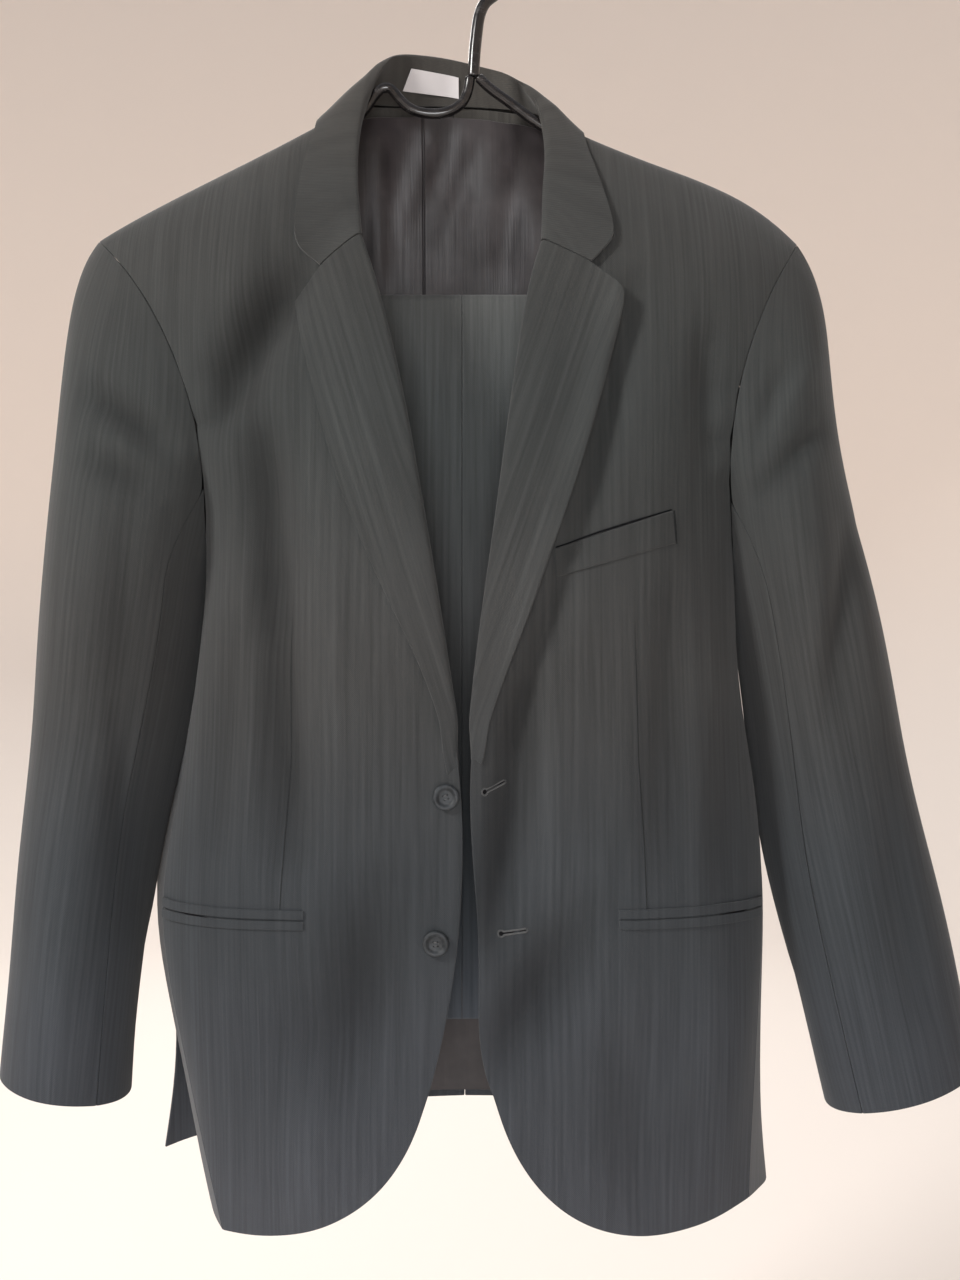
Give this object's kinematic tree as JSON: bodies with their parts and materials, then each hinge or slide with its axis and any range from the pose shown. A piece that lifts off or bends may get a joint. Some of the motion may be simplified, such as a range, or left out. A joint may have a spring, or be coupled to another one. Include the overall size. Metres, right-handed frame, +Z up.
{
  "type": "business suit on hanger",
  "caption": "Single-breasted suit jacket hung open on a tubular hanger, with its matching trousers folded over the bar.",
  "frame": {"origin": "inner top of the hanger's hook, where a rail carries it", "axes": "+Z up, -Y towards the front of the jacket, +X towards the wearer's left side"},
  "size_m": [0.6625, 0.1882, 0.9146],
  "materials": {
    "wool": "matt worsted with a faint tonal stripe",
    "satin": "satin lining",
    "label": "blank woven label",
    "horn": "satin",
    "plastic": "glossy"
  },
  "bodies": {
    "root": {"back_left": "wool", "back_right": "wool", "breast_pocket_welt": "wool", "button_lower": "horn", "button_upper": "horn", "collar": "wool", "front_left": "wool", "front_right": "wool", "hanger_arm_left": "plastic", "hanger_arm_right": "plastic", "hanger_bar": "plastic", "hanger_hook": "plastic", "lapel_left": "wool", "lapel_right": "wool", "lining_back": "satin", "neck_label": "label", "pocket_lower_jet_left": "wool", "pocket_lower_jet_right": "wool", "pocket_upper_jet_left": "wool", "pocket_upper_jet_right": "wool", "side_left": "wool", "side_right": "wool", "sleeve_top_left": "wool", "sleeve_top_right": "wool", "sleeve_under_left": "wool", "sleeve_under_right": "wool", "trouser_back_left": "wool", "trouser_back_right": "wool", "trouser_front_left": "wool", "trouser_front_right": "wool", "waistband": "wool"}
  },
  "joints": []
}
